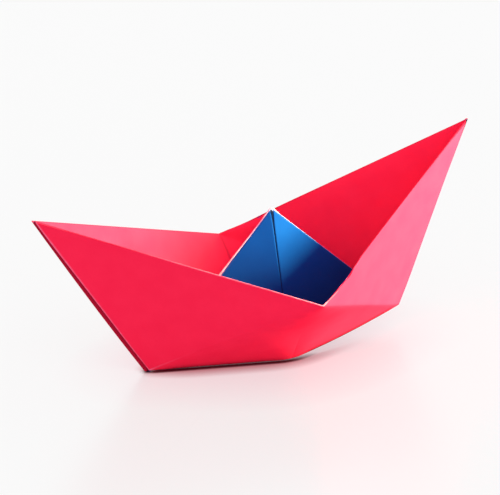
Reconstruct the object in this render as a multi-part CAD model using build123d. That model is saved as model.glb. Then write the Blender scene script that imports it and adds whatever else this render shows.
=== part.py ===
from build123d import *
import math
import os

import numpy as np

# Driving dimensions, in millimetres and degrees
SHEET_WIDTH = 210.0        # short side of the sheet
SHEET_LENGTH = 297.0       # long side of the sheet
PLY = 0.12                 # thickness of one layer of paper
KEEL_SLACK = 2.8           # the keel stays this much shorter than in a boat pulled out flat
PORT_OPENING = 50.8        # angle about the keel from the peak to the port gunwale notch
STARBOARD_OPENING = 69.2   # angle about the keel from the peak to the starboard gunwale notch
STEM_SETBACK = 1.2         # the port wall's outer plies end this far inside the stem fold
SLIT_WIDTH = 0.3           # gap between the folded edges of the two corner flaps

# Flat sizes of the folded hat that the boat is pulled out of
GUNWALE = SHEET_WIDTH / 2
STEM = GUNWALE / math.sqrt(2)
BRIM = SHEET_LENGTH / 2 - GUNWALE
BRIM_EDGE = GUNWALE - BRIM
HALF_KEEL = (GUNWALE - KEEL_SLACK) / 2

# Ply levels through the wall, counted inward from the outside of the lining ply
OUTER_PLIES = -2
SLIT_FLOOR = -1
LINING_OUTSIDE = 0
LINING_INSIDE = 1

SAME = 1e-6                # flat points closer than this are one point


def unit(vector):
    return vector / np.linalg.norm(vector)


def base_point(notch, peak):
    """Where a base crease crosses the middle of its side, and its flat distance from the notch.

    The gunwale notch and the peak lie on one circle about the keel. The paper between them keeps
    its length over the crease, and so does the paper from the crease to each foot of the keel.
    """
    spare = GUNWALE**2 / 4 - HALF_KEEL**2
    circle = GUNWALE**2 / 4 + spare
    cosine = notch @ peak / circle
    rise = 2 * spare / (circle * (1 + cosine)) - 1
    run = 1 - GUNWALE**2 / (2 * circle * (1 - cosine))
    shift = math.sqrt(spare * rise / run)
    products = [spare + GUNWALE * shift / 2, spare - GUNWALE * shift / 2]
    shares = np.linalg.solve(circle * np.array([[1.0, cosine], [cosine, 1.0]]), products)
    return shares[0] * notch + shares[1] * peak, GUNWALE / 2 - shift


def corner_points():
    """Corners of the folded boat with its keel along X, then the same corners on the flat hat."""
    radius = math.sqrt(STEM**2 - HALF_KEEL**2)

    def about_keel(degrees):
        angle = math.radians(degrees)
        return radius * np.array([0.0, math.sin(angle), math.cos(angle)])

    peak = about_keel(0.0)
    port = about_keel(-PORT_OPENING)
    starboard = about_keel(STARBOARD_OPENING)
    port_base, port_drop = base_point(port, peak)
    starboard_base, starboard_drop = base_point(starboard, peak)
    bow_foot = np.array([-HALF_KEEL, 0.0, 0.0])
    stern_foot = np.array([HALF_KEEL, 0.0, 0.0])
    folded = {
        "bow": bow_foot + STEM * unit(np.cross(port - bow_foot, starboard - bow_foot)),
        "stern": stern_foot + STEM * unit(np.cross(starboard - stern_foot, port - stern_foot)),
        "bow_foot": bow_foot,
        "stern_foot": stern_foot,
        "peak": peak,
        "port": port,
        "starboard": starboard,
        "port_base": port_base,
        "starboard_base": starboard_base,
    }
    flat = {
        "bow": (GUNWALE, GUNWALE),
        "stern": (-GUNWALE, GUNWALE),
        "bow_foot": (GUNWALE / 2, GUNWALE / 2),
        "stern_foot": (-GUNWALE / 2, GUNWALE / 2),
        "peak": (0.0, 0.0),
        "port": (0.0, GUNWALE),
        "starboard": (0.0, GUNWALE),
        "port_base": (0.0, GUNWALE - port_drop),
        "starboard_base": (0.0, GUNWALE - starboard_drop),
    }
    return folded, {name: np.array(point) for name, point in flat.items()}


FOLDED, FLAT = corner_points()


class Panel:
    """One flat triangle of the boat between its creases."""

    def __init__(self, side, end, corners):
        self.side = side
        self.end = end
        self.corners = corners
        self.outline = [FLAT[name] for name in corners]
        self.to_shares = np.linalg.inv(np.array([[*point, 1.0] for point in self.outline]).T)
        first, second, third = (FOLDED[name] for name in corners)
        across = unit(np.cross(second - first, third - first))
        turn = np.linalg.det(np.array([self.outline[1] - self.outline[0], self.outline[2] - self.outline[0]]))
        hand = 1.0 if side == "port" else -1.0
        self.inward = hand * math.copysign(1.0, turn) * across

    def shares(self, point):
        return self.to_shares @ np.array([point[0], point[1], 1.0])

    def folded(self, point):
        return sum(share * FOLDED[name] for share, name in zip(self.shares(point), self.corners))

    def holds(self, point):
        return min(self.shares(point)) > -SAME


def side_panels(side):
    """The flap, the bottom and the peak face at each end of one side."""
    base = side + "_base"
    panels = []
    for end in ("bow", "stern"):
        foot = end + "_foot"
        panels.append(Panel(side, end, (end, foot, side)))
        panels.append(Panel(side, end, (side, foot, base)))
        panels.append(Panel(side, end, ("peak", foot, base)))
    return panels


PANELS = side_panels("port") + side_panels("starboard")


def on_side_fold(point):
    """Whether a flat point lies on the slanted fold that joins port to starboard."""
    return abs(point[1] - abs(point[0])) < SAME


def at_level(panel, point, level):
    """A flat point folded with its panel, then mitred to a ply level with every panel it touches."""
    both = level >= LINING_OUTSIDE and on_side_fold(point)
    touching = [p.inward for p in PANELS if (both or p.side == panel.side) and p.holds(point)]
    mitre = np.linalg.lstsq(np.array(touching), np.ones(len(touching)), rcond=None)[0]
    return panel.folded(point) + level * PLY * mitre


def cut(polygon, line):
    """The parts of a flat polygon on both sides of the line a*x + b*y = c."""
    a, b, c = line
    heights = [a * x + b * y - c for x, y in polygon]
    parts = []
    for sign in (1.0, -1.0):
        part = []
        for i, point in enumerate(polygon):
            here, there = sign * heights[i], sign * heights[i - 1]
            if min(here, there) < -SAME and max(here, there) > SAME:
                part.append(polygon[i - 1] + (point - polygon[i - 1]) * there / (there - here))
            if here > -SAME:
                part.append(point)
        if len(part) > 2 and max(sign * (a * x + b * y - c) for x, y in part) > SAME:
            parts.append(part)
    return parts


def cut_lines(panel):
    """Lines on the flat hat where the ply count changes, and the line around the foot."""
    hand = 1.0 if panel.end == "bow" else -1.0
    foot = FLAT[panel.end + "_foot"]
    others = [corner for corner in panel.outline if corner is not foot]
    first, second = (foot + STEM_SETBACK * unit(corner - foot) for corner in others)
    across = np.array([first[1] - second[1], second[0] - first[0]])
    lines = [
        (0.0, 1.0, BRIM_EDGE),
        (hand, 0.0, BRIM_EDGE),
        (hand, 0.0, SLIT_WIDTH / 2),
        (*across, across @ first),
    ]
    if panel.end in panel.corners:
        lines.append((-hand, 1.0, STEM_SETBACK * math.sqrt(2)))
    return lines


def ply_span(panel, cell):
    """Outermost and innermost ply level of one cell of a panel."""
    x, y = np.mean(cell, axis=0)
    x = abs(x)
    inner = LINING_INSIDE + int(y > BRIM_EDGE) + int(x > BRIM_EDGE)
    if panel.side == "starboard":
        return LINING_OUTSIDE, inner
    if x < SLIT_WIDTH / 2 and y < BRIM_EDGE:
        inner = SLIT_FLOOR
    stem_strip = panel.end in panel.corners and y - x < STEM_SETBACK * math.sqrt(2)
    return (LINING_OUTSIDE if stem_strip else OUTER_PLIES), inner


def sheet_cells():
    """Every panel cut into cells of one ply count: panel, outline and ply span of each."""
    cells = []
    for panel in PANELS:
        pieces = [panel.outline]
        for line in cut_lines(panel):
            pieces = [part for piece in pieces for part in cut(piece, line)]
        cells += [(panel, piece, *ply_span(panel, piece)) for piece in pieces]
    return cells


def edge_name(panel, start, end):
    """The same name from both cells that share an edge, also over the slanted folds."""
    ends = sorted((round(float(x), 5), round(float(y), 5)) for x, y in (start, end))
    joins_sides = on_side_fold(start) and on_side_fold(end)
    return ("both" if joins_sides else panel.side, *ends)


def polygon_face(points, outward):
    """A flat face through the points, in the order that turns its front outward."""
    turn = np.cross(points[1] - points[0], points[2] - points[0])
    ordered = points if turn @ outward > 0 else points[::-1]
    return Face(Wire.make_polygon([Vector(*point) for point in ordered], close=True))


def cell_faces(panel, cell, level, outward):
    """One side of a cell: a single flat face, or a fan of triangles around a foot of the keel."""
    foot = FLAT[panel.end + "_foot"]
    first = next((i for i, point in enumerate(cell) if np.linalg.norm(point - foot) < SAME), None)
    points = [at_level(panel, point, level) for point in cell]
    if first is None:
        return [polygon_face(points, outward)]
    points = points[first:] + points[:first]
    return [polygon_face((points[0], points[i], points[i + 1]), outward) for i in range(1, len(points) - 1)]


def ply_edge(panel, cell, start, end, level):
    """The edge of one ply along one side of a cell."""
    low_start, low_end = at_level(panel, start, level), at_level(panel, end, level)
    high_start, high_end = at_level(panel, start, level + 1), at_level(panel, end, level + 1)
    outward = panel.folded((start + end) / 2) - panel.folded(np.mean(cell, axis=0))
    corners = ((low_start, low_end, high_end), (low_start, high_end, high_start))
    return [polygon_face(points, outward) for points in corners]


def sheet_faces():
    """Both faces of every cell and each ply edge that the next cell leaves open."""
    cells = sheet_cells()
    spans = {}
    for number, (panel, cell, outer, inner) in enumerate(cells):
        for i in range(len(cell)):
            spans.setdefault(edge_name(panel, cell[i - 1], cell[i]), {})[number] = range(outer, inner)
    faces = []
    for number, (panel, cell, outer, inner) in enumerate(cells):
        faces += cell_faces(panel, cell, outer, -panel.inward)
        faces += cell_faces(panel, cell, inner, panel.inward)
        for i in range(len(cell)):
            beside = spans[edge_name(panel, cell[i - 1], cell[i])]
            covered = [level for other, span in beside.items() if other != number for level in span]
            for level in range(outer, inner):
                if level not in covered:
                    faces += ply_edge(panel, cell, cell[i - 1], cell[i], level)
    return faces


def settled(solid):
    """The solid stood on the bow foot and both base creases, centred over the origin."""
    points = np.array([tuple(vertex) for vertex in solid.vertices()])
    reach = 2 * STEM_SETBACK

    def beside(name):
        return [point for point in points if np.linalg.norm(point - FOLDED[name]) < reach]

    for bow in beside("bow_foot"):
        for port in beside("port_base"):
            for starboard in beside("starboard_base"):
                up = unit(np.cross(port - bow, starboard - bow))
                if min((points - bow) @ up) > -SAME:
                    ground = Plane(Vector(*bow), x_dir=Vector(1, 0, 0) - Vector(*up) * up[0], z_dir=Vector(*up))
                    stood = solid.moved(ground.location.inverse())
                    middle = stood.bounding_box().center()
                    return stood.moved(Location((-middle.X, -middle.Y, 0.0)))
    raise ValueError("no resting plane under the bow foot and the base creases")


folded_sheet = settled(Solid(Shell(sheet_faces())))

os.makedirs("parts", exist_ok=True)
export_step(folded_sheet, "parts/folded_sheet.step")
box = folded_sheet.bounding_box()
print("folded_sheet", folded_sheet.is_valid, round(folded_sheet.volume, 1), box.min, box.max)
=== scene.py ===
import logging
import math
from dataclasses import dataclass, field
from enum import Enum

import bpy
import numpy as np
from bpy.types import GeometryNodeTree, Material, Node, NodeSocket, NodeTree, Object
from mathutils import Matrix, Vector


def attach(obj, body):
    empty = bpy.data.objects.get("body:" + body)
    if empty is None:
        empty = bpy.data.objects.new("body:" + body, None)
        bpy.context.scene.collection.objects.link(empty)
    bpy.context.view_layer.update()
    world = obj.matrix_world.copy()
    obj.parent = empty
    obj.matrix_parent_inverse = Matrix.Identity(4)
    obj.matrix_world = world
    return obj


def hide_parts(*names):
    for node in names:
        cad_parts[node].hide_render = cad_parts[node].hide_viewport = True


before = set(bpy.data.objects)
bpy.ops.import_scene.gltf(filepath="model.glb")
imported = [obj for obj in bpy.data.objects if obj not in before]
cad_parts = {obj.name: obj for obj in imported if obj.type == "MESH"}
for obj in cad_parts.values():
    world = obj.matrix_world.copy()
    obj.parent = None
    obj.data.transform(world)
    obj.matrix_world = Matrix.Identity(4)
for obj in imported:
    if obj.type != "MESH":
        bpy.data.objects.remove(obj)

logging.basicConfig(level=logging.INFO, format="%(name)s: %(message)s")
log = logging.getLogger("paper_boat")

Array = np.ndarray
Colour = tuple[float, float, float]
Span = tuple[float, float]

MM = 0.001
ROOT_TWO = math.sqrt(2)
IMAGE_WIDTH = 500
SENSOR_WIDTH = 36.0

# Colour sockets of a Mix node
MIX_SHARE, MIX_FIRST, MIX_SECOND, MIX_RESULT = 0, 6, 7, 2

# Rings of the disc that a soft bend is averaged over: share of its radius, and points on it
DISC_RINGS = ((0.0, 1), (0.2, 8), (0.4, 12), (0.6, 16), (0.8, 16), (0.95, 16))


class Side(Enum):
    """The two walls of the boat."""

    PORT = "port"
    STARBOARD = "starboard"


class End(Enum):
    """The two ends of the boat, with the sign of their half of the flat hat."""

    BOW = 1.0
    STERN = -1.0


class Half(Enum):
    """The halves of the sheet on each side of its first fold, with the sign of their long axis."""

    FRONT = -1.0
    BACK = 1.0


class Ply(Enum):
    """What each layer of the wall is on the sheet."""

    WALL = "wall"
    CORNER = "corner flap"
    BRIM = "brim"
    TAB = "brim tab"


class Level(Enum):
    """The layers through a wall, counted inward in plies from the fold's own surface."""

    OUTER = -1.5
    FLAP = -0.5
    SKIN = 0.5
    SECOND = 1.5
    INNER = 2.5


# Triangles of each ply, by the names of their corners on the flat hat
FULL_PLY = (("tip", "foot", "notch"), ("notch", "foot", "base"), ("peak", "foot", "base"))
TRIANGLES = {
    Ply.WALL: FULL_PLY,
    Ply.CORNER: FULL_PLY,
    Ply.BRIM: (("tip", "notch", "cross"), ("tip", "cross", "stop"), ("notch", "cross", "cut")),
    Ply.TAB: (("tip", "stop", "corner"),),
}


def unit(vector: Array) -> Array:
    """The vectors of an array scaled to length one."""
    return vector / np.linalg.norm(vector, axis=-1, keepdims=True)


def ramp(value: Array, low: float, high: float) -> Array:
    """A smooth step from 0 at low to 1 at high."""
    part = np.clip((value - low) / (high - low), 0.0, 1.0)
    return part * part * (3.0 - 2.0 * part)


def arch(part: Array) -> Array:
    """A parabola from 0 at both ends to 1 in the middle."""
    return 4.0 * part * (1.0 - part)


def line(away: Array, width: float, power: int = 2) -> Array:
    """A soft line, 1 at no distance and fading over its width."""
    return np.exp(-(np.clip(away, 0.0, None) / width) ** power)


def round_off(away: Array, width: Array | float) -> Array:
    """How far a round of a given half width draws in a sharp fold, by the distance from it."""
    return np.clip(width - away, 0.0, None) ** 2 / (4.0 * width)


def opaque(colour: Colour) -> tuple[float, float, float, float]:
    """A colour with its alpha."""
    return (*colour, 1.0)


@dataclass(frozen=True)
class NodeDesk:
    """Lays and links the nodes of one tree."""

    tree: NodeTree

    def feed(self, node: Node, inputs: dict[str | int, object]) -> Node:
        """Sets or links a node's inputs.

        Args:
            node: The node.
            inputs: For each input, by name or number, its value or the socket that drives it.

        Returns:
            The same node.
        """
        for key, value in inputs.items():
            if isinstance(value, NodeSocket):
                self.tree.links.new(value, node.inputs[key])
            else:
                node.inputs[key].default_value = value
        return node

    def add(self, kind: str, inputs: dict[str | int, object] | None = None) -> Node:
        """A new node of a kind, with its inputs."""
        return self.feed(self.tree.nodes.new(kind), inputs or {})

    def maths(
        self, operation: str, first: object, second: object, kind: str = "ShaderNodeMath"
    ) -> NodeSocket:
        """A sum, product or the like of two values or vectors.

        Args:
            operation: What is done with them.
            first: The first value or socket.
            second: The second value or socket.
            kind: The node's kind, for values or for vectors.

        Returns:
            The result's socket.
        """
        node = self.tree.nodes.new(kind)
        node.operation = operation
        return self.feed(node, {0: first, 1: second}).outputs[0]

    def spread(self, value: NodeSocket, span: Span, out: Span = (0.0, 1.0)) -> NodeSocket:
        """A value's span mapped to another."""
        ends = {"From Min": span[0], "From Max": span[1], "To Min": out[0], "To Max": out[1]}
        return self.add("ShaderNodeMapRange", {"Value": value, **ends}).outputs["Result"]

    def blend(self, share: object, first: object, second: object, mode: str = "MIX") -> NodeSocket:
        """Two colours brought together.

        Args:
            share: How much of the second there is, as a value or a socket.
            first: The first colour or socket.
            second: The second colour or socket.
            mode: How they are brought together.

        Returns:
            The result's socket.
        """
        node = self.tree.nodes.new("ShaderNodeMix")
        node.data_type, node.blend_type = "RGBA", mode
        self.feed(node, {MIX_SHARE: share, MIX_FIRST: first, MIX_SECOND: second})
        return node.outputs[MIX_RESULT]

    def mixed(self, share: object, first: Node, second: Node) -> Node:
        """Two shaders mixed: the first where the share is 0, the second where it is 1."""
        shaders = {1: first.outputs[0], 2: second.outputs[0]}
        return self.add("ShaderNodeMixShader", {"Fac": share, **shaders})


@dataclass(frozen=True)
class HatFold:
    """The flat paper hat and the boat that it is pulled out into, in metres with the keel on X."""

    sheet_width: float = 210.0 * MM
    sheet_length: float = 297.0 * MM
    keel_slack: float = 2.8 * MM
    port_opening: float = 50.8
    starboard_opening: float = 69.2

    @property
    def gunwale(self) -> float:
        """Half the sheet's width, the flat length of one gunwale."""
        return self.sheet_width / 2

    @property
    def brim_edge(self) -> float:
        """Flat height of the brim's cut edge, measured down from the peak."""
        return 2 * self.gunwale - self.sheet_length / 2

    @property
    def base_height(self) -> float:
        """Flat height of the port base crease's middle."""
        return float(self.corners()[1]["port_base"][1])

    def _base(self, notch: Array, peak: Array) -> tuple[Array, float]:
        """The middle of a base crease.

        Args:
            notch: The gunwale's notch on that side.
            peak: The peak.

        Returns:
            The folded point and its flat distance from the notch.
        """
        a = self.gunwale
        half_keel = (a - self.keel_slack) / 2
        spare = a * a / 4 - half_keel * half_keel
        circle = a * a / 4 + spare
        cosine = notch @ peak / circle
        rise = 2 * spare / (circle * (1 + cosine)) - 1
        run = 1 - a * a / (2 * circle * (1 - cosine))
        shift = math.sqrt(spare * rise / run)
        products = [spare + a * shift / 2, spare - a * shift / 2]
        shares = np.linalg.solve(circle * np.array([[1.0, cosine], [cosine, 1.0]]), products)
        return shares[0] * notch + shares[1] * peak, a / 2 - shift

    def corners(self) -> tuple[dict[str, Array], dict[str, Array]]:
        """The boat's corners.

        Returns:
            The folded corners by name, and the same corners on the flat hat.
        """
        a = self.gunwale
        stem = a / ROOT_TWO
        half_keel = (a - self.keel_slack) / 2
        radius = math.sqrt(stem * stem - half_keel * half_keel)

        def about_keel(degrees: float) -> Array:
            """A point of the circle about the keel, by its angle from the peak."""
            angle = math.radians(degrees)
            return radius * np.array([0.0, math.sin(angle), math.cos(angle)])

        folded, flat = {"peak": about_keel(0.0)}, {"peak": (0.0, 0.0)}
        for side, angle in (("port", -self.port_opening), ("starboard", self.starboard_opening)):
            base = side + "_base"
            folded[side] = about_keel(angle)
            folded[base], drop = self._base(folded[side], folded["peak"])
            flat[side], flat[base] = (0.0, a), (0.0, a - drop)
        for end, hand in (("bow", 1.0), ("stern", -1.0)):
            foot = np.array([-hand * half_keel, 0.0, 0.0])
            way = hand * np.cross(folded["port"] - foot, folded["starboard"] - foot)
            folded[end], folded[end + "_foot"] = foot + stem * unit(way), foot
            flat[end], flat[end + "_foot"] = (hand * a, a), (hand * a / 2, a / 2)
        return folded, {name: np.array(point) for name, point in flat.items()}


@dataclass(frozen=True)
class Crease:
    """A crease between two named corners, and how far on each side of it the paper bends."""

    start: str
    end: str
    ease: float


@dataclass(frozen=True)
class WallBend:
    """How softly one wall bends at its creases, base corner and ridge, and bows at its base."""

    bow_crease: float
    stern_crease: float
    corner_round: float
    ridge_round: float
    base_bow: float


BENDS = {
    Side.PORT: WallBend(9.0 * MM, 1.6 * MM, 4.5 * MM, 20.0 * MM, 1.1 * MM),
    Side.STARBOARD: WallBend(5.0 * MM, 3.0 * MM, 6.0 * MM, 2.0 * MM, 0.0),
}


@dataclass
class Wall:
    """One side of the boat as a map from the flat hat to the folded, softly bent paper."""

    fold: HatFold
    side: Side
    bend: WallBend
    ridge_ease: float = 0.3 * MM
    base_ease: float = 0.4 * MM
    most_ease: float = 10.0 * MM
    ease_growth: float = 0.7
    ridge_rise: float = 0.45
    notch_taper: float = 0.9
    least_round: float = 0.01 * MM
    bow_reach: float = 12.0 * MM
    fin_bow: float = 0.35
    probe: float = 0.05 * MM
    fold_round: dict[str, float] = field(
        default_factory=lambda: {"bow": 0.1 * MM, "stern": 0.9 * MM, "peak": 0.3 * MM}
    )
    folded: dict[str, Array] = field(init=False)
    flat: dict[str, Array] = field(init=False)
    creases: tuple[Crease, ...] = field(init=False)
    panels: list[tuple[Array, Array]] = field(init=False)

    def __post_init__(self) -> None:
        """Works out the creases and the six panels between them."""
        self.folded, self.flat = self.fold.corners()
        side, base = self.side.value, self.side.value + "_base"
        self.creases = (
            Crease(side, "bow_foot", self.bend.bow_crease),
            Crease(side, "stern_foot", self.bend.stern_crease),
            Crease(side, base, self.ridge_ease),
            Crease(base, "bow_foot", self.base_ease),
            Crease(base, "stern_foot", self.base_ease),
            Crease("peak", base, self.ridge_ease),
        )
        self.panels = []
        for end in ("bow", "stern"):
            foot = end + "_foot"
            for names in ((end, foot, side), (side, foot, base), ("peak", foot, base)):
                outline = np.array([[*self.flat[name], 1.0] for name in names])
                corners = np.array([self.folded[name] for name in names])
                self.panels.append((np.linalg.inv(outline), corners))

    def _sharp(self, points: Array) -> Array:
        """Carries flat points to their panels, with every crease still a sharp line.

        Args:
            points: Flat hat points, one row each.

        Returns:
            Their places on the sharply folded paper.
        """
        padded = np.concatenate([points, np.ones((len(points), 1))], axis=1)
        best = np.full(len(points), -np.inf)
        placed = np.zeros((len(points), 3))
        for to_shares, corners in self.panels:
            shares = padded @ to_shares
            inside = shares.min(axis=1)
            better = inside > best
            best[better] = inside[better]
            placed[better] = shares[better] @ corners
        return placed

    def _ease(self, points: Array) -> Array:
        """How far the bend reaches: wide along soft creases, narrow near pressed ones.

        Args:
            points: Flat hat points, one row each.

        Returns:
            The reach at each point.
        """
        reach = np.full(len(points), self.most_ease)
        for crease in self.creases:
            start, end = self.flat[crease.start], self.flat[crease.end]
            along = end - start
            share = np.clip((points - start) @ along / (along @ along), 0.0, 1.0)
            away = np.linalg.norm(points - start - share[:, None] * along, axis=1)
            reach = np.minimum(reach, crease.ease + self.ease_growth * away)
        return reach

    def _bent(self, points: Array, reach: Array) -> Array:
        """Bends the paper: the sharp fold averaged over a disc.

        Args:
            points: Flat hat points, one row each.
            reach: The disc's radius at each point.

        Returns:
            Their places on the bent paper.
        """
        placed = np.zeros((len(points), 3))
        total = 0.0
        for ring, count in DISC_RINGS:
            weight = (1.0 - ring * ring) ** 2 * (ring + 0.05) / count
            for turn in 2.0 * math.pi * (np.arange(count) + ring) / count:
                offset = ring * np.array([math.cos(turn), math.sin(turn)])
                placed += weight * self._sharp(points + reach[:, None] * offset)
                total += weight
        return placed / total + self._rounding(points) + self._fold_round(points)

    def _rounding(self, points: Array) -> Array:
        """Rounds off the ridge and the base corner, and bows the base crease out at the stern.

        Args:
            points: Flat hat points, one row each.

        Returns:
            How far each point moves.
        """
        a, base = self.fold.gunwale, self.side.value + "_base"
        low, foot = self.flat[base][1], self.flat["bow_foot"][0]
        middle = self.folded[base]
        pull = unit(self.folded["bow_foot"] - middle) + unit(self.folded["stern_foot"] - middle)
        x, y = np.abs(points[:, 0]), points[:, 1]
        rise = y - low
        ridge = ramp(rise, 0.0, self.ridge_rise * (a - low))
        wide = self.bend.corner_round + (self.bend.ridge_round - self.bend.corner_round) * ridge
        width = np.minimum(wide, np.clip(self.notch_taper * (a - y), self.least_round, None))
        fade = np.where(rise > 0.0, 1.0, np.clip(1.0 + rise / low, 0.0, 1.0) ** 2)
        away = np.abs(rise + x * (low / foot - 1.0))
        astern = np.clip(-points[:, 0] / foot, 0.0, 1.0)
        bowed = self.bend.base_bow * arch(astern) * line(away, self.bow_reach)
        return (round_off(x, width) * fade)[:, None] * pull - bowed[:, None] * unit(pull)

    def _fold_round(self, points: Array) -> Array:
        """Rounds paper off inside the slanted fold, and presses it to one fin outside it.

        Args:
            points: Flat hat points, one row each.

        Returns:
            How far each point moves.
        """
        shift = np.zeros((len(points), 3))
        x, y = points[:, 0], points[:, 1]
        stem = y + np.abs(x) > self.fold.gunwale
        from_fold = (y - np.abs(x)) / ROOT_TWO
        inside, outside = np.clip(from_fold, 0.0, None), np.clip(-from_fold, 0.0, None)
        along_stem = np.clip((y + np.abs(x)) / self.fold.gunwale - 1.0, 0.0, 1.0)
        stretch = 1.0 + self.fin_bow * arch(along_stem)
        for name, hand in (("bow", 1.0), ("stern", -1.0)):
            foot = self.folded[name + "_foot"]
            for top, part, base in ((name, stem, ""), ("peak", ~stem, "_base")):
                along = unit(self.folded[top] - foot)
                ways = {side: self.folded[side.value + base] - foot for side in Side}
                across = {side: unit(way - (way @ along) * along) for side, way in ways.items()}
                pull = sum(across.values())
                moved = round_off(inside, self.fold_round[top])[:, None] * pull
                moved += outside[:, None] * (across[self.side] - stretch[:, None] * pull / 2)
                shift += np.where((part & (x * hand > 0.0))[:, None], moved, 0.0)
        return shift

    def shape(self, points: Array) -> tuple[Array, Array]:
        """The bent paper at flat points.

        Args:
            points: Flat hat points, one row each.

        Returns:
            The places on the paper and the unit normals towards the inside of the boat.
        """
        reach = self._ease(points)
        across = np.array([self.probe, 0.0])
        down = np.array([0.0, self.probe])
        along_x = self._bent(points + across, reach) - self._bent(points - across, reach)
        along_y = self._bent(points + down, reach) - self._bent(points - down, reach)
        hand = 1.0 if self.side is Side.PORT else -1.0
        return self._bent(points, reach), hand * unit(np.cross(along_x, along_y))


@dataclass(frozen=True)
class Patch:
    """A triangle of one ply: its wall, its corners on the hat and on the sheet, and its level."""

    side: Side
    end: End
    ply: Ply
    hat: Array
    sheet: Array
    level: Level

    @property
    def outer(self) -> bool:
        """Whether it belongs to the two outer plies of the port wall."""
        return self.level in (Level.OUTER, Level.FLAP)


@dataclass(frozen=True)
class FoldMarks:
    """The wear and the painted shade in the folds; a span without MM is in shares of the gunwale.
    """

    fold: HatFold
    setback: dict[End, Span]
    outer_line: float = 0.24 * MM
    inner_line: float = 0.16 * MM
    worn_below: Span = (-0.49, -0.42)
    bow_wear: float = 0.55
    rim_wear: float = 0.5
    rim_line: float = 0.13 * MM
    bow_handled: Span = (0.35, 0.75)
    stern_handled: Span = (0.02, 0.12)
    foot_wear: float = 0.6
    foot_line: float = 0.26 * MM
    foot_reach: float = 5.0 * MM
    # Sizes of the painted shade: dark colour put where shade falls on rims, crease, slit, stem and
    # feet
    rim_shade: float = 0.35
    rim_band: float = 0.22 * MM
    tip_span: Span = (0.5, 0.75)
    ridge_shade: float = 0.28
    ridge_band: float = 0.45 * MM
    slit_shade: float = 0.9
    slit_band: float = 0.9 * MM
    under_band: float = 4.0 * MM
    under_span: Span = (0.5, 0.52)
    strip_shade: float = 0.64
    strip_edge: Span = (1.0 * MM, 1.6 * MM)
    strip_span: Span = (0.97, 0.99)
    stern_span: Span = (0.95, 0.975)
    foot_shade: float = 0.92
    foot_band: float = 2.2 * MM

    def wear(self, patch: Patch, points: Array) -> Array:
        """How worn the paper is.

        Args:
            patch: The triangle of paper.
            points: Its points on the flat hat.

        Returns:
            1 on a much rubbed fold, 0 away from the folds, for each point.
        """
        a, bow = self.fold.gunwale, patch.end is End.BOW
        x, y = np.abs(points[:, 0]), points[:, 1]
        inset, width, least = 0.0, self.inner_line, 0.0
        if patch.outer:
            tip_back, foot_back = self.setback[patch.end]
            inset = foot_back + (tip_back / ROOT_TWO - foot_back) * ramp(y, 0.5 * a, a)
            width, least = self.outer_line, self.bow_wear * bow
        shown = np.maximum(ramp(-y / a, *self.worn_below), least)
        slanted = line((y - x) / ROOT_TWO - inset, width) * shown
        handled = 1.0 - ramp(x / a, *(self.bow_handled if bow else self.stern_handled))
        rim = self.rim_wear * line(a - y, self.rim_line) * handled * (patch.side is Side.PORT)
        near_foot = line(np.hypot(x - a / 2, y - a / 2), self.foot_reach, 1) * (patch.outer and bow)
        crease = self.foot_wear * line(np.abs(x + y - a) / ROOT_TWO, self.foot_line) * near_foot
        return np.maximum.reduce([slanted, rim, crease])

    def shade(self, patch: Patch, points: Array) -> Array:
        """How dark the painted shade is that is put in the paper's folds where shade falls.

        Args:
            patch: The triangle of paper.
            points: Its points on the flat hat.

        Returns:
            1 in the deepest shade, 0 away from the folds, for each point.
        """
        a, base, bow = self.fold.gunwale, self.fold.base_height, patch.end is End.BOW
        x, y = np.abs(points[:, 0]), points[:, 1]
        # Painted shade: dark lines on the rims, notch crease and slit; dark patches at the stem and
        # feet
        tips = 1.0 if patch.side is Side.STARBOARD else ramp(x / a, *self.tip_span)
        rim = self.rim_shade * line(a - y, self.rim_band) * tips
        if patch.ply is Ply.BRIM and patch.side is Side.STARBOARD:
            return np.maximum(rim, self.ridge_shade * line(x, self.ridge_band))
        if patch.level is Level.OUTER:
            slit = self.slit_shade * line(x, self.slit_band, 4) * (1.0 - ramp(y, base / 2, base))
            return np.maximum.reduce([rim, slit, self._base_shade(patch.end, x, y)])
        if patch.level is not Level.SKIN:
            return rim
        from_foot = np.hypot(x - a / 2, y - a / 2)
        if patch.ply is Ply.WALL:
            under = line(from_foot, self.under_band, 4) * (1.0 - ramp(y / a, *self.under_span))
            return np.maximum(rim, under * bow)
        strip = 1.0 - ramp((y - x) / ROOT_TWO, *self.strip_edge)
        if bow:
            strip *= self.strip_shade * ramp((x + y) / a, *self.strip_span)
        else:
            strip *= ramp(y / a, *self.stern_span)
        at_foot = self.foot_shade * line(from_foot, self.foot_band) * bow
        return np.maximum.reduce([rim, strip, at_foot])

    def _base_shade(self, end: End, x: Array, y: Array) -> Array:
        """The painted shade along the port base crease, thin towards the bow and wider to the
        stern.

        Args:
            end: The half of the crease.
            x: How far the points are from the ridge on the flat hat.
            y: Their flat height.

        Returns:
            The shade at each point.
        """
        strength, width, power, fading = (
            (0.88, 1.1 * MM, 1, 0.75) if end is End.BOW else (0.92, 2.2 * MM, 2, 0.8)
        )
        middle = np.array([0.0, self.fold.base_height])
        along = np.full(2, self.fold.gunwale / 2) - middle
        part = (x * along[0] + (y - middle[1]) * along[1]) / (along @ along)
        away = np.abs(x * along[1] - (y - middle[1]) * along[0]) / np.linalg.norm(along)
        shown = ramp(part, -0.05, 0.2) * (1.0 - ramp(part, fading, 1.0))
        return strength * line(away, width, power) * shown


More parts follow.
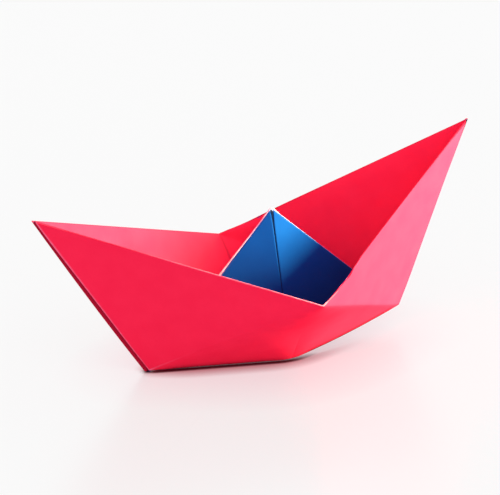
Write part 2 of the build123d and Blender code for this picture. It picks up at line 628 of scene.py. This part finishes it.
@dataclass(frozen=True)
class PaperFinish:
    """One printed face of the paper: its colour, its fibre, its worn folds and the shade painted in
    them.
    """

    name: str
    colour: Colour
    cloudy: Colour
    worn: Colour
    # Colour of the shade painted in the folds
    painted_shade_colour: Colour
    wear: float
    roughness: Span
    specular: float
    fibre_scale: float = 420.0
    cloud_scale: float = 38.0
    rub_scale: float = 110.0
    least_rub: float = 0.45
    bump: float = 0.12
    bump_height: float = 0.06 * MM

    def material(self) -> Material:
        """The paper's node material, drawn on the flat sheet's own coordinates.

        Returns:
            The new material.
        """
        made = bpy.data.materials.new(self.name)
        made.use_nodes = True
        desk = NodeDesk(made.node_tree)
        sheet = desk.add("ShaderNodeUVMap")
        sheet.uv_map = "sheet"

        def noise(scale: float, detail: float) -> NodeSocket:
            """A noise on the sheet's coordinates."""
            inputs = {"Vector": sheet.outputs["UV"], "Scale": scale, "Detail": detail}
            return desk.add("ShaderNodeTexNoise", inputs).outputs["Fac"]

        def mark(name: str) -> NodeSocket:
            """A value that the paper carries on its points.

            Args:
                name: The value's name.

            Returns:
                Its socket.
            """
            node = desk.add("ShaderNodeAttribute")
            node.attribute_name = name
            return node.outputs["Fac"]

        fibre, cloud = noise(self.fibre_scale, 5.0), noise(self.cloud_scale, 3.0)
        clouds = desk.spread(cloud, (0.35, 0.65), (0.0, 0.55))
        flecks = desk.spread(fibre, (0.45, 0.75), (0.0, 0.35))
        ground = desk.blend(clouds, opaque(self.colour), opaque(self.cloudy))
        flecked = desk.blend(flecks, ground, opaque(self.cloudy))
        # Painted shade: darkens the colour in the folds, where shade falls
        painted_shaded = desk.blend(mark("fold_painted_shade"), flecked, opaque(self.painted_shade_colour))
        uneven = (self.least_rub * self.wear, self.wear)
        rubbing = desk.spread(noise(self.rub_scale, 4.0), (0.3, 0.6), uneven)
        rubbed = desk.maths("MULTIPLY", mark("fold_wear"), rubbing)
        grain = {"Strength": self.bump, "Distance": self.bump_height, "Height": fibre}
        desk.feed(made.node_tree.nodes["Principled BSDF"], {
            "Base Color": desk.blend(rubbed, painted_shaded, opaque(self.worn)),
            "Roughness": desk.spread(fibre, (0.3, 0.7), self.roughness),
            "Specular IOR Level": self.specular,
            "Normal": desk.add("ShaderNodeBump", grain).outputs["Normal"],
        })
        return made


@dataclass
class FoldedSheet:
    """The whole boat: one sheet of two-coloured paper with all its plies."""

    fold: HatFold
    face: PaperFinish
    back: PaperFinish
    core: PaperFinish
    ply: float = 0.13 * MM
    thickness: float = 0.095 * MM
    setback: dict[End, Span] = field(
        default_factory=lambda: {End.BOW: (0.5 * MM, 0.25 * MM), End.STERN: (2.4 * MM, 0.5 * MM)}
    )
    stand_out: dict[End, Span] = field(
        default_factory=lambda: {End.BOW: (1.4 * MM, 1.8 * MM), End.STERN: (0.6 * MM, 0.0)}
    )
    foot_rise: float = 0.65
    fin_edge: Span = (-0.1 * MM, 0.5 * MM)
    fin_plies: float = 1.5
    table_gap: float = 0.15 * MM
    table_soft: float = 0.3 * MM
    slit: float = 0.16 * MM
    peak_drop: float = 0.4 * MM
    peak_slit: float = 0.3 * MM
    flap_drop: float = 0.5 * MM
    tab_drop: float = 0.7 * MM
    tip_spread: float = 0.8 * MM
    tip_reach: float = 2.5 * MM
    spring: float = 0.45 * MM
    spring_span: Span = (0.45, 0.6)
    spring_reach: float = 7.0 * MM
    spring_less: float = 0.9
    brim_reach: float = 9.0 * MM
    brim_hold: Span = (14.0 * MM, 3.0 * MM)
    uneven: float = 0.3 * MM
    uneven_scale: float = 14.0
    uneven_from: float = 20.0 * MM
    seed: float = 4.0
    rows: int = 42
    crowding: float = 1.7
    welded: float = 1e7
    least_lift: float = 0.5
    sharp_angle: float = 62.0

    def _on_sheet(self, ply: Ply, half: Half, end: End, points: Array) -> Array:
        """Where hat points of a ply lie on the flat sheet.

        Args:
            ply: The ply.
            half: Its half of the sheet.
            end: Its end of the boat.
            points: Flat hat points, one row each.

        Returns:
            The sheet's points, measured from the middle of its first fold.
        """
        x, y = points[:, 0], points[:, 1]
        if ply in (Ply.CORNER, Ply.TAB):
            x, y = end.value * y, np.abs(x)
        if ply in (Ply.BRIM, Ply.TAB):
            y = 2 * self.fold.gunwale - y
        return np.stack([x, half.value * y], axis=1)

    def _patches(self, walls: dict[Side, Wall]) -> list[Patch]:
        """Every triangle of every ply.

        Args:
            walls: The two walls.

        Returns:
            The patches, end by end.
        """
        a, c = self.fold.gunwale, self.fold.brim_edge
        gap, under = self.slit / 2, a - self.flap_drop
        patches: list[Patch] = []

        def lay(ply: Ply, half: Half, level: Level, moved: dict[str, Span]) -> None:
            """Lays one ply at the end and side in hand.

            Args:
                ply: The ply.
                half: Its half of the sheet.
                level: Its level in the wall.
                moved: The corners that don't lie at their true place.
            """
            mirror = np.array([end.value, 1.0])
            for names in TRIANGLES[ply]:
                true = np.array([corners[name] for name in names]) * mirror
                laid = np.array([moved.get(name, corners[name]) for name in names]) * mirror
                sheet = self._on_sheet(ply, half, end, true)
                patches.append(Patch(side, end, ply, laid, sheet, level))

        for end in End:
            tip_back, foot_back = self.setback[end]
            tip_far, foot_far = self.stand_out[end]
            rise = self.foot_rise * foot_far
            foot_in = (a / 2 - foot_back / ROOT_TWO, a / 2 + foot_back / ROOT_TWO)
            foot_out = (a / 2 + (rise + foot_far) / ROOT_TWO, a / 2 + (rise - foot_far) / ROOT_TWO)
            for side in Side:
                base = tuple(walls[side].flat[side.value + "_base"])
                corners = {
                    "tip": (a, a), "foot": (a / 2, a / 2), "notch": (0.0, a), "base": base,
                    "peak": (0.0, 0.0), "stop": (c, c), "cross": (a - c, c), "cut": (0.0, c),
                    "corner": (c, a),
                }
                if side is Side.PORT:
                    half, other, brim, tab = Half.FRONT, Half.BACK, Level.SECOND, Level.INNER
                    outer = {"tip": (a - tip_back, a), "foot": foot_in}
                    flap = {
                        "notch": (gap, under), "base": (gap, base[1]),
                        "peak": (self.peak_slit, self.peak_slit),
                    }
                    set_in = {"tip": (a - tip_back, under), "foot": foot_in}
                    set_out = {"tip": (a + tip_far, under), "foot": foot_out}
                    lay(Ply.WALL, half, Level.OUTER, {**outer, "peak": (0.0, self.peak_drop)})
                    lay(Ply.CORNER, half, Level.FLAP, {**flap, **set_in})
                    lay(Ply.CORNER, other, Level.SKIN, {**flap, **set_out})
                else:
                    half, other, brim, tab = Half.BACK, Half.FRONT, Level.INNER, Level.SECOND
                    lay(Ply.WALL, half, Level.SKIN, {"tip": (a + tip_far, a), "foot": foot_out})
                low = a - self.tab_drop
                lay(Ply.BRIM, half, brim, {})
                lay(Ply.TAB, other, tab, {"tip": (low, low), "corner": (c, low)})
        return patches

    def _grid(self) -> tuple[Array, Array]:
        """A triangle's grid, closer near its sides.

        Returns:
            The corner shares of each grid point, and the grid's triangles.
        """
        n = self.rows
        index = {}
        shares = []
        for i in range(n + 1):
            for j in range(n + 1 - i):
                index[i, j] = len(shares)
                shares.append((i, j, n - i - j))
        weights = (np.array(shares) / n) ** self.crowding
        weights /= weights.sum(axis=1, keepdims=True)
        triangles = []
        for i in range(n):
            for j in range(n - i):
                triangles.append((index[i, j], index[i + 1, j], index[i, j + 1]))
                if i + j < n - 1:
                    triangles.append((index[i + 1, j], index[i + 1, j + 1], index[i, j + 1]))
        return weights, np.array(triangles)

    def _spread(self, patch: Patch, points: Array) -> Array:
        """Hat points with the tips of the two corner flaps spread apart at the peak."""
        apart = self.tip_spread * line(points[:, 1], self.tip_reach, 1) * (patch.ply is Ply.CORNER)
        return points + np.outer(patch.end.value * apart, (1.0, 0.0))

    def _levels(self, patch: Patch, points: Array) -> Array:
        """The level of a ply, on the port side of the pressed fin for paper outside the fold.

        Args:
            patch: The triangle of paper.
            points: Its points on the flat hat.

        Returns:
            The level at each point, in plies.
        """
        x, y = np.abs(points[:, 0]), points[:, 1]
        level = np.full(len(points), patch.level.value)
        if patch.level is Level.SKIN and max(self.stand_out[patch.end]) > 0.0:
            level -= self.fin_plies * (1.0 - ramp((y - x) / ROOT_TWO, *self.fin_edge))
        return level

    def _springing(self, patch: Patch, points: Array) -> Array:
        """How far a ply stands off its pressed level.

        Args:
            patch: The triangle of paper.
            points: Its points on the flat hat.

        Returns:
            The share of the spring at each point.
        """
        a, c = self.fold.gunwale, self.fold.brim_edge
        x, y = np.abs(points[:, 0]), points[:, 1]
        if patch.outer:
            lift = ramp(y / a, *self.spring_span) * line((y - x) / ROOT_TWO, self.spring_reach, 1)
            return -lift * (1.0 if patch.ply is Ply.WALL else self.spring_less)
        if patch.ply is Ply.BRIM:
            loose = np.clip(1.0 - (y - c) / self.brim_reach, 0.0, 1.0) ** 2
            free = 1.0 - ramp(x, c - self.brim_hold[0], c - self.brim_hold[1])
            return self.spring_less * loose * free
        return np.zeros(len(points))

    def _laid_out(self) -> dict[str, Array]:
        """The sheet as one flat, welded mesh with its fold worked out for each point.

        Returns:
            Arrays by name: sheet, folded, lift, level, spring, fold_wear and the painted fold
            shade per point, and faces.
        """
        walls = {side: Wall(self.fold, side, bend) for side, bend in BENDS.items()}
        marks = FoldMarks(self.fold, self.setback)
        weights, triangles = self._grid()
        patches = self._patches(walls)
        hat = [self._spread(patch, weights @ patch.hat) for patch in patches]
        placed: list[tuple[Array, Array]] = [(np.zeros(0), np.zeros(0))] * len(patches)
        for side, wall in walls.items():
            members = [i for i, patch in enumerate(patches) if patch.side is side]
            places, normals = wall.shape(np.concatenate([hat[i] for i in members]))
            for order, i in enumerate(members):
                part = slice(order * len(weights), (order + 1) * len(weights))
                placed[i] = (places[part], normals[part])
        keys: dict[tuple[int, int], int] = {}
        sums: list[Array] = []
        faces: list[tuple[int, ...]] = []
        for patch, points, (places, normals) in zip(patches, hat, placed):
            flat = weights @ patch.sheet
            rows = np.column_stack([
                np.ones(len(points)), flat, places, normals,
                self._levels(patch, points), self._springing(patch, points),
                marks.wear(patch, points), marks.shade(patch, points),
            ])
            numbers = []
            for row in rows:
                key = (round(row[1] * self.welded), round(row[2] * self.welded))
                if key not in keys:
                    keys[key] = len(sums)
                    sums.append(np.zeros(rows.shape[1]))
                sums[keys[key]] += row
                numbers.append(keys[key])
            for i, j, k in triangles:
                turn = np.cross(flat[j] - flat[i], flat[k] - flat[i])
                face = (numbers[i], numbers[j], numbers[k])
                faces.append(face if turn > 0.0 else face[::-1])
        table = np.array(sums)
        table = table / table[:, :1]
        lift = table[:, 6:9]
        length = np.linalg.norm(lift, axis=1, keepdims=True)
        return {
            "sheet": table[:, 1:3],
            "folded": table[:, 3:6],
            "lift": lift / np.maximum(length, self.least_lift),
            "level": table[:, 9],
            "spring": table[:, 10],
            "fold_wear": table[:, 11],
            "fold_painted_shade": table[:, 12],
            "faces": np.array(faces),
        }

    def _standing(self) -> tuple[Array, Array]:
        """The turn and shift from the keel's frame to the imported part's own place.

        Returns:
            The rotation matrix and the shift, from the four outermost corners of the part.
        """
        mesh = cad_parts["folded_sheet"].data
        points = np.zeros(len(mesh.vertices) * 3)
        mesh.vertices.foreach_get("co", points)
        points = points.reshape(-1, 3)
        found = np.array([
            points[points[:, 0].argmin()], points[points[:, 0].argmax()],
            points[points[:, 1].argmin()], points[points[:, 1].argmax()],
        ])
        folded, _ = self.fold.corners()
        known = np.array([folded[name] for name in ("bow", "stern", "port", "starboard")])
        left, _, right = np.linalg.svd((known - known.mean(0)).T @ (found - found.mean(0)))
        flip = np.diag([1.0, 1.0, np.linalg.det(left @ right)])
        turn = (left @ flip @ right).T
        return turn, found.mean(0) - turn @ known.mean(0)

    def _on_table(self, places: Array) -> Array:
        """Presses the fin's lowest corner, which would pass through the table, flat above it.

        Args:
            places: Places of the folded paper, one row each.

        Returns:
            The places, none of them lower than the gap above the table.
        """
        height, soft = places[:, 2], self.table_soft
        start = self.table_gap + soft
        pressed = self.table_gap + soft * np.exp((np.minimum(height, start) - start) / soft)
        return np.column_stack([places[:, :2], np.where(height < start, pressed, height)])

    def _fold_sizes(self) -> dict[str, float]:
        """The folding tree's inputs by name."""
        sizes = {"Ply Pitch": self.ply, "Spring": self.spring, "Unevenness": self.uneven}
        return {**sizes, "Seed": self.seed}

    def _fold_tree(self, material: Material) -> GeometryNodeTree:
        """The node tree that folds the flat sheet.

        Args:
            material: The paper's face.

        Returns:
            The tree, with the ply pitch, the spring, the unevenness and its seed as inputs.
        """
        tree = bpy.data.node_groups.new("fold_sheet", "GeometryNodeTree")
        face = tree.interface
        face.new_socket("Sheet", in_out="INPUT", socket_type="NodeSocketGeometry")
        for name, value in self._fold_sizes().items():
            socket = face.new_socket(name, in_out="INPUT", socket_type="NodeSocketFloat")
            socket.default_value = value
        face.new_socket("Boat", in_out="OUTPUT", socket_type="NodeSocketGeometry")
        desk = NodeDesk(tree)
        given = desk.add("NodeGroupInput").outputs

        def named(name: str, kind: str = "FLOAT") -> NodeSocket:
            """A point value of the flat sheet.

            Args:
                name: The value's name.
                kind: Its data type.

            Returns:
                Its socket.
            """
            node = tree.nodes.new("GeometryNodeInputNamedAttribute")
            node.data_type = kind
            return desk.feed(node, {"Name": name}).outputs["Attribute"]

        folded, lift = named("folded", "FLOAT_VECTOR"), named("lift", "FLOAT_VECTOR")
        wave = tree.nodes.new("ShaderNodeTexNoise")
        wave.noise_dimensions = "4D"
        desk.feed(wave, {"Vector": folded, "W": given["Seed"]})
        desk.feed(wave, {"Scale": self.uneven_scale, "Detail": 1.0})
        height = desk.add("ShaderNodeSeparateXYZ", {0: folded}).outputs["Z"]
        ripple = desk.maths("SUBTRACT", wave.outputs["Fac"], 0.5)
        ripple = desk.maths("MULTIPLY", ripple, given["Unevenness"])
        ripple = desk.maths("MULTIPLY", ripple, desk.spread(height, (0.0, self.uneven_from)))
        stack = desk.maths("MULTIPLY", named("level"), given["Ply Pitch"])
        stand = desk.maths("MULTIPLY", named("spring"), given["Spring"])
        push = desk.maths("ADD", desk.maths("ADD", stack, stand), ripple)
        offset = desk.maths("MULTIPLY", lift, push, "ShaderNodeVectorMath")
        place = desk.maths("ADD", folded, offset, "ShaderNodeVectorMath")
        move = desk.add("GeometryNodeSetPosition", {"Geometry": given["Sheet"], "Position": place})
        smooth = desk.add("GeometryNodeSetShadeSmooth", {"Geometry": move.outputs[0]})
        real = desk.add("GeometryNodeRealizeInstances", {0: smooth.outputs[0]})
        paint = desk.add("GeometryNodeSetMaterial", {"Geometry": real.outputs[0]})
        desk.feed(paint, {"Material": material})
        desk.add("NodeGroupOutput", {0: paint.outputs[0]})
        return tree

    def _flat_object(self, laid: dict[str, Array]) -> Object:
        """The flat sheet as an object that carries the fold's values on its points.

        Args:
            laid: The arrays of the flat sheet.

        Returns:
            The new object, linked to the scene.
        """
        turn, shift = self._standing()
        vectors = {
            "folded": self._on_table(laid["folded"] @ turn.T + shift),
            "lift": laid["lift"] @ turn.T,
        }
        mesh = bpy.data.meshes.new("flat_sheet")
        flat = np.column_stack([laid["sheet"], np.zeros(len(laid["sheet"]))])
        mesh.from_pydata(flat.tolist(), [], laid["faces"].tolist())
        for name, values in vectors.items():
            made = mesh.attributes.new(name, "FLOAT_VECTOR", "POINT")
            made.data.foreach_set("vector", values.ravel())
        for name in ("level", "spring", "fold_wear", "fold_painted_shade"):
            mesh.attributes.new(name, "FLOAT", "POINT").data.foreach_set("value", laid[name])
        paper = mesh.uv_layers.new(name="sheet")
        on_sheet = laid["sheet"] / self.fold.sheet_length + 0.5
        paper.data.foreach_set("uv", on_sheet[laid["faces"].ravel()].ravel())
        sheet = bpy.data.objects.new("flat_sheet", mesh)
        bpy.context.scene.collection.objects.link(sheet)
        return sheet

    def _settled(self, source: Object, name: str) -> Object:
        """An object's evaluated mesh as a plain object, which takes its place.

        Args:
            source: The object with modifiers.
            name: The new object's name.

        Returns:
            The plain object.
        """
        view = bpy.context.evaluated_depsgraph_get()
        mesh = bpy.data.meshes.new_from_object(source.evaluated_get(view), depsgraph=view)
        source.modifiers.clear()
        bpy.data.objects.remove(source)
        made = bpy.data.objects.new(name, mesh)
        mesh.name = name
        bpy.context.scene.collection.objects.link(made)
        return made

    def build(self) -> Object:
        """Folds the sheet and gives it its thickness.

        Returns:
            The boat, with its red face, blue face and cut edge as material slots.
        """
        face, back, core = self.face.material(), self.back.material(), self.core.material()
        flat = self._flat_object(self._laid_out())
        tree = self._fold_tree(face)
        folding = flat.modifiers.new("fold", "NODES")
        folding.node_group = tree
        sizes = self._fold_sizes()
        for item in tree.interface.items_tree:
            if item.name in sizes and item.in_out == "INPUT":
                folding[item.identifier] = sizes[item.name]
        folded = self._settled(flat, "folded_paper")
        folded.data.materials.append(back)
        folded.data.materials.append(core)
        wall = folded.modifiers.new("thickness", "SOLIDIFY")
        wall.thickness = self.thickness
        wall.offset = 0.0
        wall.use_rim = True
        wall.material_offset = 1
        wall.material_offset_rim = 2
        boat = self._settled(folded, "paper_boat")
        boat.data.set_sharp_from_angle(angle=math.radians(self.sharp_angle))
        for name in ("folded", "lift", "level", "spring"):
            spent = boat.data.attributes.get(name)
            if spent:
                boat.data.attributes.remove(spent)
        return boat

    def dress(self, boat: Object) -> Object:
        """Ties the boat to the part that it stands for.

        Args:
            boat: The built boat.

        Returns:
            The same boat.
        """
        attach(boat, "root")
        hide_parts("folded_sheet")
        return boat


@dataclass(frozen=True)
class ContactShade:
    """One stage of the table's painted contact shadow: its reach, and the open share where it is
    full and ends.
    """

    reach: float
    full: float
    none: float
    colour: Colour


@dataclass(frozen=True)
class TableFinish:
    """The white table top: pale page and painted contact shadow where seen, matt where it gives
    light back.
    """

    name: str = "white_table"
    page: float = 0.97
    matt: float = 0.72
    page_share: float = 0.84
    gloss: float = 0.10
    roughness: float = 0.30
    shade_samples: int = 16
    shades: tuple[ContactShade, ...] = (
        # Painted pink bounce light from the hull, then painted dark red and near-black contact
        # shadow
        ContactShade(30.0 * MM, 0.0, 1.0, (0.96, 0.72, 0.77)),
        ContactShade(8.0 * MM, 0.12, 0.78, (0.42, 0.0, 0.03)),
        ContactShade(2.0 * MM, 0.55, 1.0, (0.05, 0.0, 0.004)),
    )

    def material(self) -> Material:
        """The table's node material, with painted shadow and painted red bounce where the boat is
        close above.

        Returns:
            The new material.
        """
        made = bpy.data.materials.new(self.name)
        made.use_nodes = True
        nodes = made.node_tree.nodes
        nodes.remove(nodes["Principled BSDF"])
        desk = NodeDesk(made.node_tree)
        white = (self.matt, self.matt, self.matt, 1.0)
        tone: object = (self.page, self.page, self.page, 1.0)
        for shade in self.shades:
            around = desk.add("ShaderNodeAmbientOcclusion", {"Distance": shade.reach})
            around.samples = self.shade_samples
            open_share = desk.spread(around.outputs["AO"], (shade.full, shade.none))
            tone = desk.blend(open_share, opaque(shade.colour), tone)
        matt = desk.add("ShaderNodeBsdfDiffuse", {"Color": white})
        # Camera and glossy rays see the page tone with its painted contact shadow; other rays plain
        # matt
        dulled = desk.blend(1.0, tone, white, "MULTIPLY")
        tinted = desk.add("ShaderNodeBsdfDiffuse", {"Color": dulled})
        glow = desk.add("ShaderNodeEmission", {"Color": tone})
        ray = desk.add("ShaderNodeLightPath").outputs
        either = desk.maths("MAXIMUM", ray["Is Camera Ray"], ray["Is Glossy Ray"])
        choice = desk.mixed(either, matt, desk.mixed(self.page_share, tinted, glow))
        gloss = desk.add("ShaderNodeBsdfGlossy", {"Roughness": self.roughness})
        polished = desk.mixed(self.gloss, choice, gloss)
        desk.feed(nodes["Material Output"], {"Surface": polished.outputs[0]})
        return made


@dataclass
class Studio:
    """The pale table, the soft light and the camera; angles are in degrees."""

    finish: TableFinish = TableFinish()
    table_half: float = 6.0
    camera_place: tuple[float, float, float] = (-0.33968, -0.74671, 0.38599)
    azimuth: float = -24.160
    elevation: float = 22.876
    roll: float = -0.060
    focal_pixels: float = 2444.3
    far_clip: float = 50.0
    key_turn: float = 23.0
    key_rise: float = 20.4
    key_away: float = 0.5
    key_aim: tuple[float, float, float] = (0.0, 0.0, 0.035)
    key_size: float = 0.20
    key_power: float = 14.2
    key_tint: Colour = (1.0, 2.05, 0.78)
    overhead: float = 0.42
    overhead_lean: float = 38.0
    overhead_spread: float = 50.0
    sky_low: float = 1.52
    sky_high: float = 0.88
    sky_lean: float = 0.2

    def camera(self) -> None:
        """The camera at the photograph's place and angle."""
        lens = bpy.data.cameras.new("view")
        lens.sensor_width = SENSOR_WIDTH
        lens.sensor_fit = "HORIZONTAL"
        lens.lens = SENSOR_WIDTH * self.focal_pixels / IMAGE_WIDTH
        lens.clip_end = self.far_clip
        turn, tilt = math.radians(self.azimuth), math.radians(self.elevation)
        flat = math.cos(tilt)
        behind = Vector((math.sin(turn) * flat, -math.cos(turn) * flat, math.sin(tilt)))
        right = (-behind).cross(Vector((0.0, 0.0, 1.0))).normalized()
        up = behind.cross(right)
        rolled = Matrix.Rotation(-math.radians(self.roll), 3, "Z")
        pose = Matrix((right, up, behind)).transposed() @ rolled
        eye = bpy.data.objects.new("view", lens)
        eye.matrix_world = Matrix.Translation(Vector(self.camera_place)) @ pose.to_4x4()
        bpy.context.scene.collection.objects.link(eye)
        bpy.context.scene.camera = eye

    def lights(self, lit: Object, table: Object) -> None:
        """A soft box on the right for the boat, and an overhead light for the table.

        Args:
            lit: The boat.
            table: The table top.
        """
        lamp = bpy.data.lights.new("softbox", "AREA")
        lamp.shape = "SQUARE"
        lamp.size = self.key_size
        lamp.energy = self.key_power
        lamp.color = self.key_tint
        turn, rise = math.radians(self.key_turn), math.radians(self.key_rise)
        flat = math.cos(rise)
        towards = Vector((flat * math.cos(turn), -flat * math.sin(turn), math.sin(rise)))
        key = bpy.data.objects.new("softbox", lamp)
        key.location = Vector(self.key_aim) + self.key_away * towards
        key.rotation_euler = towards.to_track_quat("Z", "Y").to_euler()
        self._only(key, lit)
        lamp = bpy.data.lights.new("overhead", "SUN")
        lamp.energy = self.overhead
        lamp.angle = math.radians(self.overhead_spread)
        above = bpy.data.objects.new("overhead", lamp)
        above.rotation_euler = (math.radians(self.overhead_lean), 0.0, 0.0)
        self._only(above, table)

    def _only(self, lamp: Object, lit: Object) -> None:
        """Puts a lamp in the scene and keeps its light to one object.

        Args:
            lamp: The lamp.
            lit: The one object that it lights.
        """
        bpy.context.scene.collection.objects.link(lamp)
        group = bpy.data.collections.new(lamp.name + "_lit")
        group.objects.link(lit)
        lamp.light_linking.receiver_collection = group

    def sky(self) -> None:
        """A pale studio all round, brighter low down and to the right."""
        world = bpy.data.worlds.new("studio")
        world.use_nodes = True
        bpy.context.scene.world = world
        desk = NodeDesk(world.node_tree)
        look = desk.add("ShaderNodeTexCoord").outputs["Generated"]
        parts = desk.add("ShaderNodeSeparateXYZ", {0: look}).outputs
        fall = desk.spread(parts["Z"], (0.0, 1.0), (self.sky_low, self.sky_high))
        lean = desk.spread(parts["X"], (-1.0, 1.0), (1.0 - self.sky_lean, 1.0 + self.sky_lean))
        pale = {"Color": opaque((1.0, 1.0, 1.0)), "Strength": desk.maths("MULTIPLY", fall, lean)}
        desk.feed(world.node_tree.nodes["Background"], pale)

    def table(self) -> Object:
        """The white table top.

        Returns:
            The stage object.
        """
        half = self.table_half
        signs = ((-1, -1), (1, -1), (1, 1), (-1, 1))
        mesh = bpy.data.meshes.new("table_top")
        mesh.from_pydata([(x * half, y * half, 0.0) for x, y in signs], [], [(0, 1, 2, 3)])
        mesh.materials.append(self.finish.material())
        top = bpy.data.objects.new("table_top", mesh)
        bpy.context.scene.collection.objects.link(top)
        return top


# Each finish's darkest colour is the shade painted in the folds
RED = PaperFinish(
    name="red_paper_face",
    colour=(0.95, 0.0205, 0.075),
    cloudy=(0.91, 0.015, 0.065),
    worn=(0.92, 0.38, 0.66),
    painted_shade_colour=(0.03, 0.0, 0.001),
    wear=0.75,
    roughness=(0.50, 0.60),
    specular=0.0,
)
BLUE = PaperFinish(
    name="blue_paper_face",
    colour=(0.005, 0.042, 0.280),
    cloudy=(0.004, 0.036, 0.252),
    worn=(0.58, 0.40, 0.95),
    painted_shade_colour=(0.006, 0.004, 0.016),
    wear=0.9,
    roughness=(0.45, 0.55),
    specular=0.02,
)
CORE = PaperFinish(
    name="paper_cut_edge",
    colour=(0.66, 0.37, 0.86),
    cloudy=(0.58, 0.29, 0.74),
    worn=(0.72, 0.45, 0.92),
    painted_shade_colour=(0.30, 0.10, 0.14),
    wear=0.3,
    roughness=(0.7, 0.8),
    specular=0.2,
)


def main() -> None:
    """Builds the camera, the boat and the studio."""
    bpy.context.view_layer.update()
    bpy.context.scene.view_settings.view_transform = "Standard"
    studio = Studio()
    studio.camera()
    paper = FoldedSheet(HatFold(), RED, BLUE, CORE)
    boat = paper.dress(paper.build())
    log.info("%s: %d faces", boat.name, len(boat.data.polygons))
    top = studio.table()
    studio.sky()
    studio.lights(boat, top)
    log.info("%s: lit and laid under the boat", top.name)


if __name__ == "__main__":
    main()
